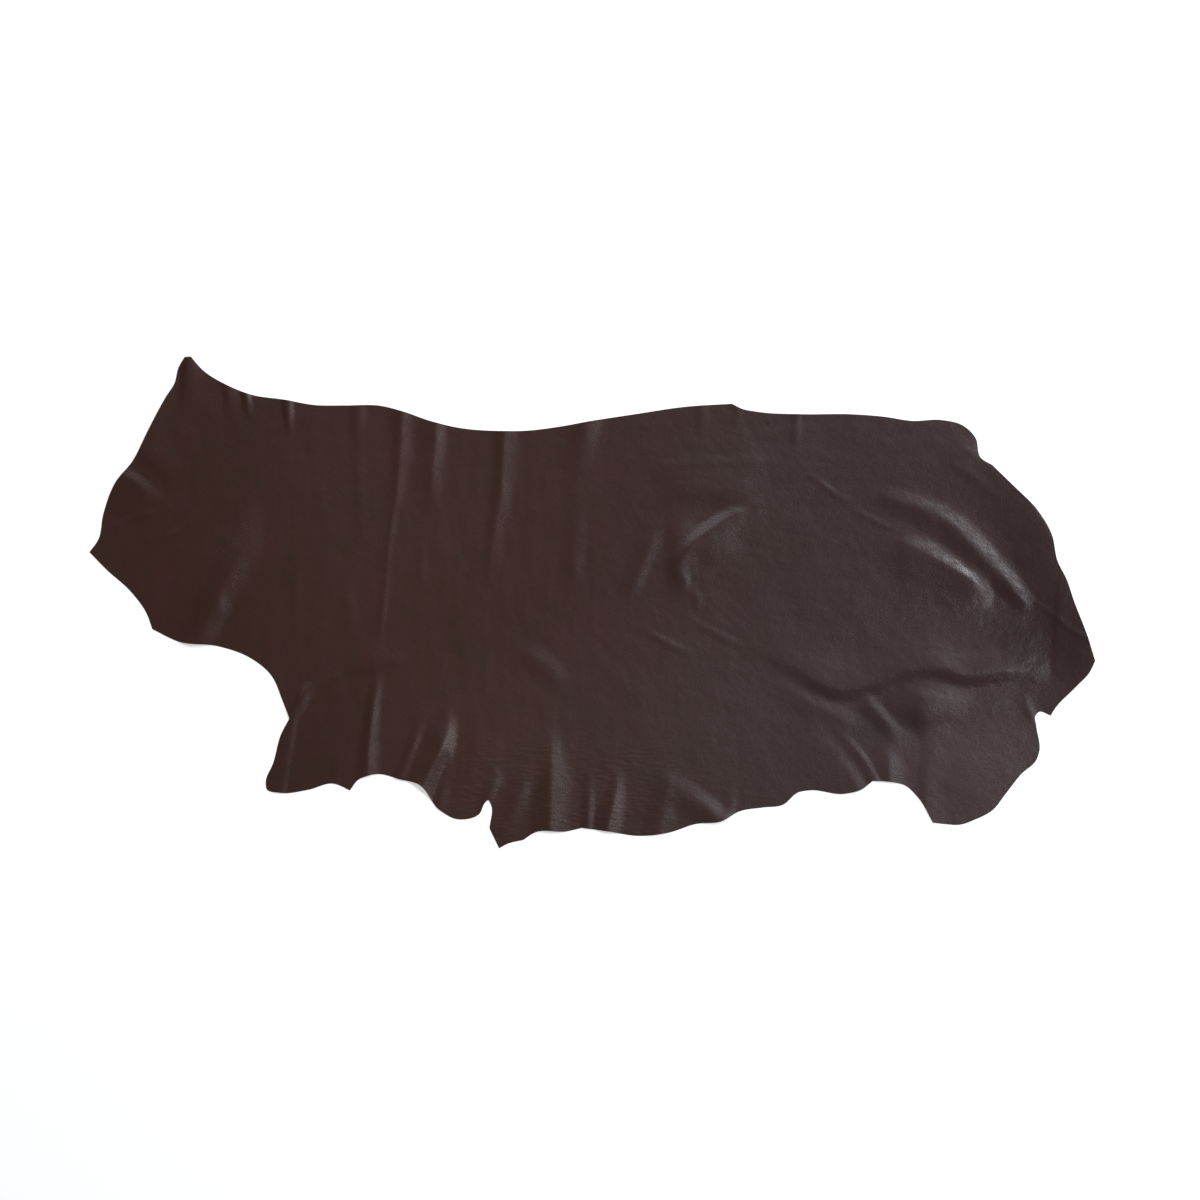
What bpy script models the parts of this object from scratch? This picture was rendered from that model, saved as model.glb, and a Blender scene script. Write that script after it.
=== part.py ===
"""Leather hide: a half hide (side) of finished leather, lying on a flat surface in its own soft folds.

Blender 4.5, metres, +Z up. The origin is under the middle of the hide, on the surface it lies on.
+X runs along the backbone from the neck to the butt, +Y from the belly to the backbone.
The tables are in millimetres.
"""
import math
from collections import namedtuple

import bmesh
import bpy
import numpy as np
from mathutils import Vector
from mathutils.geometry import delaunay_2d_cdt

MM = 0.001
THICKNESS = 1.5        # finished leather of a cow side
EDGE_STEP = 26.0       # length of one facet of the cut edge, at most
CREST_STEP = 24.0      # distance between the points on a fold's crest
CREST_RADIUS = 5.0     # how round the leather is over a crest
BLEND = 15.0           # length of crest over which the height, the width and the side are averaged
FINE_STEP = 16.0       # closest spacing of the points between the folds
SPACINGS = (4, 2, 1)   # multiples of FINE_STEP, widest first
SAG = 0.15             # a facet may lie this far from the leather before the points move closer

SMOOTH, CORNER = "smooth", "corner"
EdgePoint = namedtuple("EdgePoint", "x y kind", defaults=(SMOOTH,))
Fold = namedtuple("Fold", "left right crisp path")
Swell = namedtuple("Swell", "height x y half_length half_width turn")


def rows(*points):
    """Edge points from (x, y) or (x, y, kind) tuples."""
    return [EdgePoint(*p) for p in points]


# The cut edge, clockwise from the tip of the neck.
OUTLINE = {
    "neck and shoulder": rows(
        (-977, 589, CORNER), (-962, 590, CORNER), (-934, 558), (-878, 523), (-818, 499), (-739, 487),
        (-665, 474), (-590, 473), (-506, 472), (-449, 457), (-389, 436), (-317, 419), (-233, 412),
        (-149, 413), (-79, 422), (12, 438), (103, 452), (226, 470), (336, 477, CORNER)),
    "back": rows(
        (360, 465), (396, 458), (504, 452), (619, 452), (701, 446), (768, 436), (840, 438), (890, 425),
        (920, 396), (933, 347), (960, 330, CORNER)),
    "butt": rows(
        (1013, 278), (1068, 222), (1102, 164), (1116, 100), (1138, 55), (1156, 2), (1186, -76),
        (1206, -140, CORNER)),
    "hind leg": rows(
        (1193, -167), (1159, -204), (1110, -256), (1101, -271, CORNER), (1072, -263), (1064, -272),
        (1066, -294), (1073, -360), (1067, -377), (1030, -412), (990, -463), (963, -497), (917, -522),
        (885, -533), (848, -532), (818, -528, CORNER), (784, -470), (747, -437), (720, -431),
        (674, -428, CORNER)),
    "flank and belly": rows(
        (646, -449), (606, -459), (521, -451), (497, -455), (457, -486), (410, -492), (355, -501),
        (307, -526), (252, -531), (185, -552), (110, -560), (37, -549), (-24, -541, CORNER), (-60, -549),
        (-137, -552), (-165, -570, CORNER), (-202, -579), (-223, -590, CORNER), (-246, -542, CORNER),
        (-243, -484), (-249, -474), (-257, -481), (-269, -506), (-324, -520), (-367, -497), (-416, -436),
        (-459, -425), (-514, -412), (-528, -413, CORNER), (-560, -425), (-581, -451, CORNER),
        (-618, -435), (-683, -450), (-746, -457), (-785, -441, CORNER)),
    "foreleg": rows(
        (-765, -385), (-746, -316), (-726, -278, CORNER), (-741, -240), (-772, -172), (-824, -131),
        (-898, -105), (-992, -94), (-1055, -64, CORNER), (-1069, -26), (-1105, 24), (-1164, 78),
        (-1206, 121, CORNER)),
    "front of the neck": rows(
        (-1185, 151), (-1173, 212), (-1145, 286), (-1102, 341), (-1066, 412), (-1022, 494), (-1002, 526),
        (-992, 565)),
}

# Folds, each a ridge along its crest. Left and right are its half widths for someone who walks along the
# path, crisp is 0 for a soft roll and 1 for a tent. Each point of the path is x, y and the height there, and
# where the fold is narrower or wider a fourth number is the share of its half widths.
FOLDS = {
    # neck
    "neck tip": Fold(46, 26, 0.3, [(-965, 610, 4.5), (-965, 555, 4.5), (-970, 505, 2.5), (-975, 460, 0)]),
    "nape pucker 1": Fold(22, 14, 0.4, [(-875, 525, 3), (-870, 490, 2.5), (-870, 450, 0)]),
    "nape pucker 3": Fold(18, 16, 0.6, [(-730, 510, 3), (-725, 465, 3, 0.8), (-725, 405, 0, 0.5)]),
    "nape pucker 4": Fold(26, 18, 0.4, [(-565, 490, 2.5), (-565, 450, 2), (-565, 395, 0)]),
    "throat": Fold(28, 90, 0.4, [(-1150, 330, 0), (-1130, 305, 3), (-1095, 285, 4), (-1065, 260, 2.5),
        (-1025, 235, 0)]),
    "throat shade": Fold(80, 36, 0.4, [(-1095, 370, 0), (-1065, 350, 2), (-1030, 325, 2), (-1000, 290, 0)]),
    "neck roll": Fold(54, 46, 0.4, [(-815, 225, 0), (-835, 185, 3), (-860, 125, 5), (-895, 60, 6),
        (-920, -5, 7), (-950, -70, 7.5), (-985, -140, 7.5)]),
    # shoulder
    "shoulder 1": Fold(40, 38, 0.8, [(-455, 475, 5), (-455, 415, 5), (-460, 335, 4, 0.85),
        (-470, 260, 3, 0.6), (-480, 160, 2, 0.4), (-490, 65, 1.5, 0.35), (-505, -55, 1, 0.35),
        (-510, -125, 0, 0.35)]),
    "shoulder 2": Fold(34, 46, 0.6, [(-370, 450, 5), (-370, 390, 5), (-375, 330, 4.5), (-380, 275, 3),
        (-390, 215, 0)]),
    "shoulder 3": Fold(36, 46, 0.7, [(-205, 435, 5.5), (-210, 355, 5.5), (-220, 260, 4.5, 0.95),
        (-240, 150, 3, 0.8), (-250, 25, 0, 0.7)]),
    "withers": Fold(50, 42, 0.3, [(-5, 455, 2.5, 1.1), (-10, 415, 2), (-25, 335, 1, 0.7),
        (-35, 245, 1, 0.7), (-40, 175, 1.5, 0.7), (-45, 75, 1, 0.7), (-50, 5, 0, 0.8)]),
    # butt
    "rump rim": Fold(120, 28, 0.5, [(385, 225, 0, 0.7), (350, 215, 4.5, 0.8), (310, 200, 8.5),
        (270, 180, 11), (240, 155, 11, 0.95), (215, 120, 6, 0.9), (210, 80, 4, 0.9), (215, 25, 0)]),
    "rump ridge": Fold(170, 30, 0.4, [(175, 245, 0), (210, 260, 3), (260, 265, 3.5), (310, 265, 3.5),
        (360, 260, 2.5), (410, 255, 0)]),
    "rump lip": Fold(100, 36, 0.4, [(325, -70, 0), (385, -100, 1), (440, -125, 2.5), (490, -150, 4),
        (540, -185, 5.5), (585, -205, 6), (660, -195, 6), (770, -155, 6), (825, -150, 6), (900, -170, 6),
        (965, -155, 4), (1030, -150, 2.5), (1100, -125, 0)]),
    "streak 1": Fold(42, 48, 0.5, [(670, 265, 0, 0.6), (720, 245, 2.5, 0.8), (795, 220, 4.5),
        (860, 185, 5.5), (925, 125, 5.5), (970, 80, 5.5), (1005, 45, 5, 0.9), (1035, 10, 3.5, 0.7),
        (1060, -10, 0, 0.5)]),
    "streak 2": Fold(34, 90, 0.6, [(735, 145, 0, 0.7), (770, 135, 2, 0.85), (805, 115, 4.5), (840, 90, 6),
        (875, 70, 6), (910, 45, 6), (935, 20, 4.5), (950, -10, 0)]),
    "butt corner": Fold(150, 80, 0.4, [(740, 390, 0), (835, 335, 2.5), (900, 295, 4), (985, 225, 5),
        (1060, 140, 5.5), (1105, 60, 5), (1130, -25, 3), (1135, -140, 1)]),
    "rump crease": Fold(26, 40, 0.4, [(455, -175, 0), (490, -205, 1.5), (540, -230, 3), (595, -260, 3),
        (650, -290, 2), (675, -310, 0)]),
    "knuckle": Fold(24, 48, 0.6, [(640, -230, 0), (660, -250, 2.5), (700, -285, 4), (740, -325, 4),
        (760, -350, 0)]),
    "heel": Fold(90, 70, 0.4, [(740, -225, 0, 0.8), (775, -240, 4.5, 0.95), (795, -265, 7.5),
        (800, -285, 7.5), (790, -315, 4.5, 0.95), (760, -330, 0, 0.8)]),
    # leg
    "flank 1": Fold(44, 120, 0.4, [(495, -265, 0), (525, -310, 3.5), (560, -360, 5.5), (595, -405, 6.5),
        (630, -470, 6.5)]),
    "hind leg 1": Fold(48, 60, 0.8, [(705, -320, 0), (710, -350, 3.5), (715, -400, 4), (715, -470, 4)]),
    # belly
    "armpit": Fold(24, 26, 0.4, [(-610, -165, 0), (-645, -195, 1.5), (-675, -225, 3), (-705, -250, 3),
        (-725, -275, 0)]),
    "belly 1": Fold(36, 30, 0.8, [(-510, -170, 0, 0.4), (-515, -205, 2.5, 0.5), (-525, -250, 4, 0.6),
        (-535, -325, 5, 0.8), (-540, -440, 5)]),
    "belly 2": Fold(38, 56, 0.7, [(-335, -210, 0, 0.4), (-345, -255, 2, 0.5), (-350, -300, 5, 0.7),
        (-360, -345, 7, 0.8), (-390, -390, 6), (-425, -465, 5.5)]),
    "belly notch": Fold(16, 22, 0.6, [(-240, -405, 0), (-240, -435, 2), (-245, -485, 2.5)]),
    "belly 4": Fold(32, 34, 0.4, [(-135, -375, 0), (-155, -420, 2.5), (-180, -475, 2.5),
        (-205, -535, 2.5)]),
    "belly 5": Fold(60, 64, 0.7, [(-95, -310, 0, 0.6), (-100, -350, 3, 0.7), (-100, -415, 5),
        (-100, -475, 5.5), (-100, -570, 6)]),
    "belly 7": Fold(38, 34, 0.6, [(60, -390, 0, 0.3), (60, -435, 2, 0.5), (45, -490, 4, 0.9),
        (30, -575, 5)]),
    "belly 8": Fold(40, 40, 0.5, [(190, -395, 0), (180, -435, 2.5), (175, -480, 3), (150, -575, 3.5)]),
    "belly 9": Fold(30, 50, 0.4, [(150, -405, 0), (185, -435, 2), (240, -470, 3), (300, -515, 3),
        (330, -545, 3)]),
}

# Broad swells under the folds, each an ellipse turned by its angle in degrees.
SWELLS = {
    "rump": Swell(6, 600, 20, 400, 215, -4),
    "rump corner": Swell(3, 835, 100, 170, 150, -45),
    "hind leg": Swell(3, 900, -400, 160, 120, 0),
    "brisket": Swell(3, -900, 60, 190, 130, 35),
}


def slopes(points, corners, closed):
    """Change per mm before and after each point: the weighted mean of its two chords, or each its own."""
    chord = np.roll(points, -1, axis=0) - points
    length = np.hypot(*chord[:, :2].T)[:, None]
    ahead = chord / length
    if not closed:
        ahead[-1] = ahead[-2]
        length[-1] = length[-2]
    behind, before = np.roll(ahead, 1, axis=0), np.roll(length, 1, axis=0)
    if not closed:
        behind[0], before[0] = ahead[0], length[0]
    mean = (behind * length + ahead * before) / (length + before)
    is_corner = np.array(corners)[:, None]
    return np.where(is_corner, behind, mean), np.where(is_corner, ahead, mean)


def smooth_line(points, corners, step, closed=False):
    """A Hermite curve through the points, cut into pieces no longer than step."""
    points = np.array(points, dtype=float)
    arriving, leaving = slopes(points, corners, closed)
    line = []
    for i in range(len(points) if closed else len(points) - 1):
        j = (i + 1) % len(points)
        chord = math.dist(points[i, :2], points[j, :2])
        pieces = max(1, math.ceil(chord / step))
        t = np.arange(pieces)[:, None] / pieces
        line.append((1 + 2 * t) * (1 - t) ** 2 * points[i] + t * t * (3 - 2 * t) * points[j]
                    + chord * t * (1 - t) * ((1 - t) * leaving[i] - t * arriving[j]))
    if not closed:
        line.append(points[-1:])
    return np.concatenate(line)


def crest_line(fold):
    """The crest as a smooth line of x, y, height and share of the width, none beyond the values given."""
    path = np.array([(*point, 1.0)[:4] for point in fold.path])
    line = smooth_line(path, [False] * len(path), CREST_STEP)
    line[:, 2:] = np.clip(line[:, 2:], path[:, 2:].min(axis=0), path[:, 2:].max(axis=0))
    return line


def beside(points, line):
    """Distance of each point from the line, and the height, share and side (+1 left, -1 right) there.

    The last three are means along the line, weighted by exp((d0^2 - d^2) / (2 BLEND^2)) with d the distance
    and d0 the shortest one, so they change smoothly on the inner side of a bend.
    """
    start, chord = line[:-1, :2], np.diff(line[:, :2], axis=0)
    rise = np.diff(line[:, 2:], axis=0)
    offset = points[:, None, :] - start
    part = np.clip((offset * chord).sum(axis=2) / (chord ** 2).sum(axis=1), 0, 1)
    square = ((offset - part[..., None] * chord) ** 2).sum(axis=2)
    nearest = square.min(axis=1)
    weight = np.exp((nearest[:, None] - square) / (2 * BLEND ** 2)) * np.hypot(*chord.T)
    weight /= weight.sum(axis=1)[:, None]
    side = np.sign(chord[:, 0] * offset[..., 1] - chord[:, 1] * offset[..., 0])
    height, share = np.moveaxis(line[:-1, 2:] + part[..., None] * rise, 2, 0)
    return np.sqrt(nearest), *((weight * value).sum(axis=1) for value in (height, share, side))


def fold_height(fold, points):
    """Full height on the crest, falling to nothing at the half width of each side."""
    line = crest_line(fold)
    height = np.zeros(len(points))
    reach = max(fold.left, fold.right) * line[:, 3].max() + CREST_RADIUS
    low, high = line[:, :2].min(axis=0) - reach, line[:, :2].max(axis=0) + reach
    near = np.all((points > low) & (points < high), axis=1)
    if near.any():
        distance, crest, share, side = beside(points[near], line)
        width = share * (fold.right + (fold.left - fold.right) * (1 + side) / 2)
        away = np.clip((np.hypot(distance, CREST_RADIUS) - CREST_RADIUS) / width, 0, 1)
        height[near] = crest * (1 - away) ** 2 * (1 + 2 * away * (1 - fold.crisp))
    return height


def swell_height(swell, points):
    """A flat-topped dome over an ellipse: (1 - u^2)^2, with u from 0 in the middle to 1 at its rim."""
    turn = math.radians(swell.turn)
    x, y = (points - (swell.x, swell.y)).T
    u = np.hypot((x * math.cos(turn) + y * math.sin(turn)) / swell.half_length,
                 (y * math.cos(turn) - x * math.sin(turn)) / swell.half_width)
    return swell.height * np.clip(1 - u * u, 0, 1) ** 2


def relief(points):
    """Height of the hide's underside over the surface that it lies on."""
    return (sum(fold_height(fold, points) for fold in FOLDS.values())
            + sum(swell_height(swell, points) for swell in SWELLS.values()))


def inside(points, ring):
    """True for each point that the closed ring goes round: it is crossed an odd number of times."""
    x, y = points[:, :1], points[:, 1:]
    (x0, y0), (x1, y1) = ring.T, np.roll(ring, -1, axis=0).T
    level = (y0 > y) != (y1 > y)
    with np.errstate(divide="ignore", invalid="ignore"):
        crossing = x < x0 + (y - y0) * (x1 - x0) / (y1 - y0)
    return (level & crossing).sum(axis=1) % 2 == 1


def clear_of(points, others, gap):
    """The points that lie at least gap from every one of the others."""
    distance = np.hypot(*(points[:, None, :] - others).transpose(2, 0, 1))
    return points[distance.min(axis=1) >= gap]


def crest_points(ring):
    """Points along every crest, where they lie inside the edge and apart from the crests before."""
    kept = ring
    for fold in FOLDS.values():
        crest = crest_line(fold)[:, :2]
        crest = crest[inside(crest, ring)]
        kept = np.concatenate([kept, clear_of(crest, kept, CREST_STEP / 2)])
    return kept[len(ring):]


def lattice_points(ring):
    """A triangular lattice that halves its spacing wherever the leather bends away from the facets."""
    low, high = ring.min(axis=0), ring.max(axis=0)
    row = FINE_STEP * math.sqrt(3) / 2
    across = np.arange(-int((high[1] - low[1]) / row), int((high[0] - low[0]) / FINE_STEP) + 1)
    i, j = np.meshgrid(across, np.arange(int((high[1] - low[1]) / row) + 1))
    points = low + np.stack([(i + j / 2) * FINE_STEP, j * row], axis=-1).reshape(-1, 2)
    i, j = i.ravel(), j.ravel()
    within = inside(points, ring)
    points, i, j = points[within], i[within], j[within]
    height = relief(points)
    wanted = np.zeros(len(points), dtype=bool)
    for multiple in SPACINGS:
        on_grid = (i % multiple == 0) & (j % multiple == 0)
        if multiple == SPACINGS[0]:
            wanted |= on_grid
            continue
        around = np.zeros(on_grid.sum())
        for angle in np.radians(np.arange(0, 360, 60)):
            step = multiple * FINE_STEP * np.array([math.cos(angle), math.sin(angle)])
            around += relief(points[on_grid] + step) / 6
        wanted[on_grid] |= np.abs(around - height[on_grid]) > SAG
    return points[wanted]


def hide_mesh():
    """The underside as triangles between the cut edge, the crests and the lattice, lifted by the relief."""
    edge = [point for section in OUTLINE.values() for point in section]
    ring = smooth_line([(p.x, p.y) for p in edge], [p.kind == CORNER for p in edge], EDGE_STEP, closed=True)
    crests = crest_points(ring)
    lattice = clear_of(lattice_points(ring), np.concatenate([ring, crests]), FINE_STEP * 0.55)
    points = np.concatenate([ring, crests, lattice])
    border = [(i, (i + 1) % len(ring)) for i in range(len(ring))]
    flat, _, faces, *_ = delaunay_2d_cdt([Vector(p) for p in points], border, [], 1, 1e-4)
    height = relief(np.array(flat))
    mesh = bpy.data.meshes.new("hide")
    mesh.from_pydata([(p[0] * MM, p[1] * MM, z * MM) for p, z in zip(flat, height)], [], faces)
    return mesh


def face_up(mesh):
    """Turn every face so that it points up, away from the surface that the hide lies on."""
    sheet = bmesh.new()
    sheet.from_mesh(mesh)
    bmesh.ops.reverse_faces(sheet, faces=[face for face in sheet.faces if face.normal.z < 0])
    sheet.to_mesh(mesh)
    sheet.free()


def leather():
    """Dark chocolate-brown leather with a satin finish on its grain side."""
    material = bpy.data.materials.new("brown leather")
    material.use_nodes = True
    shader = material.node_tree.nodes["Principled BSDF"]
    shader.inputs["Base Color"].default_value = (0.048, 0.029, 0.027, 1)
    shader.inputs["Roughness"].default_value = 0.42
    shader.inputs["Metallic"].default_value = 0.0
    return material


def main():
    for thing in list(bpy.data.objects):
        bpy.data.objects.remove(thing)
    collection = bpy.data.collections.new("leather hide")
    bpy.context.scene.collection.children.link(collection)

    mesh = hide_mesh()
    face_up(mesh)
    mesh.materials.append(leather())
    mesh.shade_smooth()
    hide = bpy.data.objects.new("hide", mesh)
    collection.objects.link(hide)

    body = hide.modifiers.new("thickness", "SOLIDIFY")
    body.thickness = THICKNESS * MM
    body.offset = 1.0
    body.use_even_offset = True


main()
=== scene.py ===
# %% [markdown]
# # A leather hide, lying in its own folds
#
# Half of a cow's hide, called a side, is how finished leather is sold to people who make bags and sofas: two
# square metres of it, as thick as a coin, cut by eye around the neck, the legs and the belly. It has been
# rolled and hung, so it never lies quite flat. This file makes one that lies on a white surface, seen from
# straight above, in the order in which the leather itself came about: the outline that was cut, the folds
# that it took, the sheet with its thickness, its finish, and last the light.

# %% Tools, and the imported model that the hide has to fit
import math
from collections import namedtuple

import bpy
import numpy as np
from mathutils.geometry import delaunay_2d_cdt
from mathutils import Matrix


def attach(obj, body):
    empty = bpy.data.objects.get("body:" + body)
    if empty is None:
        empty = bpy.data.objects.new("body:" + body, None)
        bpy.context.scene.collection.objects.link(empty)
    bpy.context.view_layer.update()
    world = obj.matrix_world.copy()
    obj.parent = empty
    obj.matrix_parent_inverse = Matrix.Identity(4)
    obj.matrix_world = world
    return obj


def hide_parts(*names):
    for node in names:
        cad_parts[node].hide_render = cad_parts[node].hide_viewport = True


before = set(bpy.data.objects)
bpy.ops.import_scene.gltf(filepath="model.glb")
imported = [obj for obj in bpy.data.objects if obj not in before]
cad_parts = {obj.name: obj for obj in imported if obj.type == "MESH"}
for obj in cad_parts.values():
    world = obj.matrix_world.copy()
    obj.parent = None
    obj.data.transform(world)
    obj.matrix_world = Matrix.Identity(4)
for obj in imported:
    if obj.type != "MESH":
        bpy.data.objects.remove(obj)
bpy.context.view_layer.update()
# one millimetre in Blender's metres: the tables below are in mm
MM = 0.001

# %% [markdown]
# ## The cut edge
#
# A side has a nearly straight edge where the hide was split along the backbone, and a loose one everywhere
# else: the neck, the foreleg, the belly, the hind leg and the butt. The knife ran in long smooth curves with
# a few sharp corners, so the outline is a short list of points in millimetres, each smooth or a corner, and
# a curve joins them. The origin is under the middle of the hide, with +X towards the butt and +Y towards the
# backbone.

# %% Outline, clockwise from the tip of the neck
SMOOTH, CORNER = "smooth", "corner"
EdgePoint = namedtuple("EdgePoint", "x y kind", defaults=(SMOOTH,))


def rows(*points):
    """Edge points from (x, y) or (x, y, kind) tuples."""
    return [EdgePoint(*p) for p in points]


OUTLINE = {
    "neck and shoulder": rows(
        (-977, 589, CORNER), (-962, 590, CORNER), (-934, 558), (-878, 523), (-818, 499), (-739, 487),
        (-665, 474), (-590, 473), (-506, 472), (-449, 457), (-389, 436), (-317, 419), (-233, 412),
        (-149, 413), (-79, 422), (12, 438), (103, 452), (226, 470), (336, 477, CORNER)),
    "back": rows(
        (360, 465), (396, 458), (504, 452), (619, 452), (701, 446), (768, 436), (840, 438), (890, 425),
        (920, 396), (933, 347), (960, 330, CORNER)),
    "butt": rows(
        (1013, 278), (1068, 222), (1102, 164), (1116, 100), (1138, 55), (1156, 2), (1186, -76),
        (1206, -140, CORNER)),
    "hind leg": rows(
        (1193, -167), (1159, -204), (1110, -256), (1101, -271, CORNER), (1072, -263), (1064, -272),
        (1066, -294), (1073, -360), (1067, -377), (1030, -412), (990, -463), (963, -497), (917, -522),
        (885, -533), (848, -532), (818, -528, CORNER), (784, -470), (747, -437), (720, -431),
        (674, -428, CORNER)),
    "flank and belly": rows(
        (646, -449), (606, -459), (521, -451), (497, -455), (457, -486), (410, -492), (355, -501),
        (307, -526), (252, -531), (185, -552), (110, -560), (37, -549), (-24, -541, CORNER), (-60, -549),
        (-137, -552), (-165, -570, CORNER), (-202, -579), (-223, -590, CORNER), (-246, -542, CORNER),
        (-243, -484), (-249, -474), (-257, -481), (-269, -506), (-324, -520), (-367, -497), (-416, -436),
        (-459, -425), (-514, -412), (-528, -413, CORNER), (-560, -425), (-581, -451, CORNER),
        (-618, -435), (-683, -450), (-746, -457), (-781, -447)),
    "foreleg": rows(
        (-783, -432), (-765, -385), (-746, -316), (-726, -278, CORNER), (-741, -240), (-772, -172),
        (-824, -131), (-898, -105), (-992, -94), (-1055, -64, CORNER), (-1069, -26), (-1105, 24),
        (-1164, 78), (-1206, 121, CORNER)),
    "front of the neck": rows(
        (-1185, 151), (-1173, 212), (-1145, 286), (-1102, 341), (-1066, 412), (-1022, 494), (-1002, 526),
        (-992, 565)),
}

# %% [markdown]
# A curve through given points needs a direction at each one. A smooth point takes the mean of the directions
# of its two neighbours, weighted by how near they are, and a corner keeps one direction for each side. Cubic
# Hermite pieces then join the points. The same function draws the crests of the folds later on, where a third
# column holds the height and is carried along.

# %% A curve through points
def slopes(points, corners, closed):
    """Slope before and after each point: the chord-weighted mean of its two chords, or each its own."""
    chord = np.roll(points, -1, axis=0) - points
    length = np.hypot(chord[:, 0], chord[:, 1])[:, None]
    ahead = chord / length
    if not closed:
        ahead[-1], length[-1] = ahead[-2], length[-2]
    behind, before = np.roll(ahead, 1, axis=0), np.roll(length, 1, axis=0)
    if not closed:
        behind[0], before[0] = ahead[0], length[0]
    mean = (behind * length + ahead * before) / (length + before)
    is_corner = np.array(corners)[:, None]
    return np.where(is_corner, behind, mean), np.where(is_corner, ahead, mean)


def smooth_line(points, step, corners=None, closed=False):
    """Hermite pieces between the points, each cut into equal shares no longer than step."""
    points = np.array(points, dtype=float)
    corners = corners or [False] * len(points)
    arriving, leaving = slopes(points, corners, closed)
    line = []
    for i in range(len(points) if closed else len(points) - 1):
        j = (i + 1) % len(points)
        chord = math.dist(points[i, :2], points[j, :2])
        pieces = max(1, math.ceil(chord / step))
        t = np.arange(pieces)[:, None] / pieces
        line.append((1 + 2 * t) * (1 - t) ** 2 * points[i] + t * t * (3 - 2 * t) * points[j]
                    + chord * t * (1 - t) * ((1 - t) * leaving[i] - t * arriving[j]))
    if not closed:
        line.append(points[-1:])
    return np.concatenate(line)


EDGE_STEP = 5.0
edge = [point for section in OUTLINE.values() for point in section]
ring = smooth_line([(p.x, p.y) for p in edge], EDGE_STEP, [p.kind == CORNER for p in edge], closed=True)
ahead = np.roll(ring, -1, axis=0)
edge_length = np.hypot(*(ahead - ring).T).sum()
cut_area = abs(ring[:, 0] @ ahead[:, 1] - ring[:, 1] @ ahead[:, 0]) / 2
print(f"cut edge: {edge_length / 1000:.2f} m round, {cut_area / 1e6:.3f} m2, {len(ring)} points")

# %% [markdown]
# ## The folds
#
# Leather bends but hardly stretches, so it buckles into ridges. A cloth simulation would make some too, but
# others than this hide's, so each is placed one by one. It is a row of a table, in mm: how far it reaches to
# the left and to the right of its crest, how crisp the crest is, and the crest's path. A point of the path
# has x, y and the height there, and a fourth number where the fold is narrower or wider than its row says.
# Left and right are those of someone who walks along the path. All paths run from the backbone to the belly
# or from the neck to the butt, so left is always the side that the light comes from.

# %% Folds of the neck
Fold = namedtuple("Fold", "left right crisp path")

NECK = {
    "neck tip": Fold(46, 20, 0.3, [(-967, 611, 6.5), (-967, 553, 6.5), (-972, 505, 3.5), (-977, 462, 0)]),
    "neck edge": Fold(24, 16, 0.5, [(-994, 544, 0), (-1022, 496, 2.6), (-1049, 448, 2.6), (-1080, 380, 0)]),
    "nape pucker 1": Fold(26, 14, 0.4, [(-874, 524, 3.8), (-871, 491, 3.2), (-871, 452, 0)]),
    "nape pucker 2": Fold(12, 12, 0.7, [(-833, 520, 4.2), (-828, 486, 3.6), (-823, 448, 0)]),
    "nape pucker 3": Fold(20, 16, 0.6, [(-732, 515, 4.4), (-730, 467, 4.2, 0.8), (-725, 404, 0, 0.5)]),
    "nape pucker 4": Fold(26, 18, 0.4, [(-566, 491, 1.8), (-566, 448, 1.7), (-564, 395, 0)]),
    "throat": Fold(24, 90, 0.4, [(-1152, 328, 0), (-1128, 306, 3.2), (-1094, 284, 4.2), (-1063, 258, 3),
        (-1022, 234, 0)]),
    "throat shade": Fold(80, 34, 0.4, [(-1094, 376, 0), (-1066, 356, 2.4), (-1032, 328, 2.8),
        (-994, 289, 0)]),
    "neck roll": Fold(52, 46, 0.4, [(-809, 227, 0), (-826, 184, 3.4), (-847, 126, 6.4), (-878, 59, 8),
        (-910, -6, 9), (-941, -71, 9.4), (-977, -138, 9.4)]),
    "collar crease 1": Fold(10, 9, 0.5, [(-1174, 169, 0), (-1121, 191, 1), (-1082, 210, 1.1),
        (-1032, 215, 0)]),
    "collar crease 2": Fold(10, 9, 0.5, [(-1061, 145, 0), (-1003, 164, 1), (-965, 193, 1.2),
        (-926, 232, 0)]),
}

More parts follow.
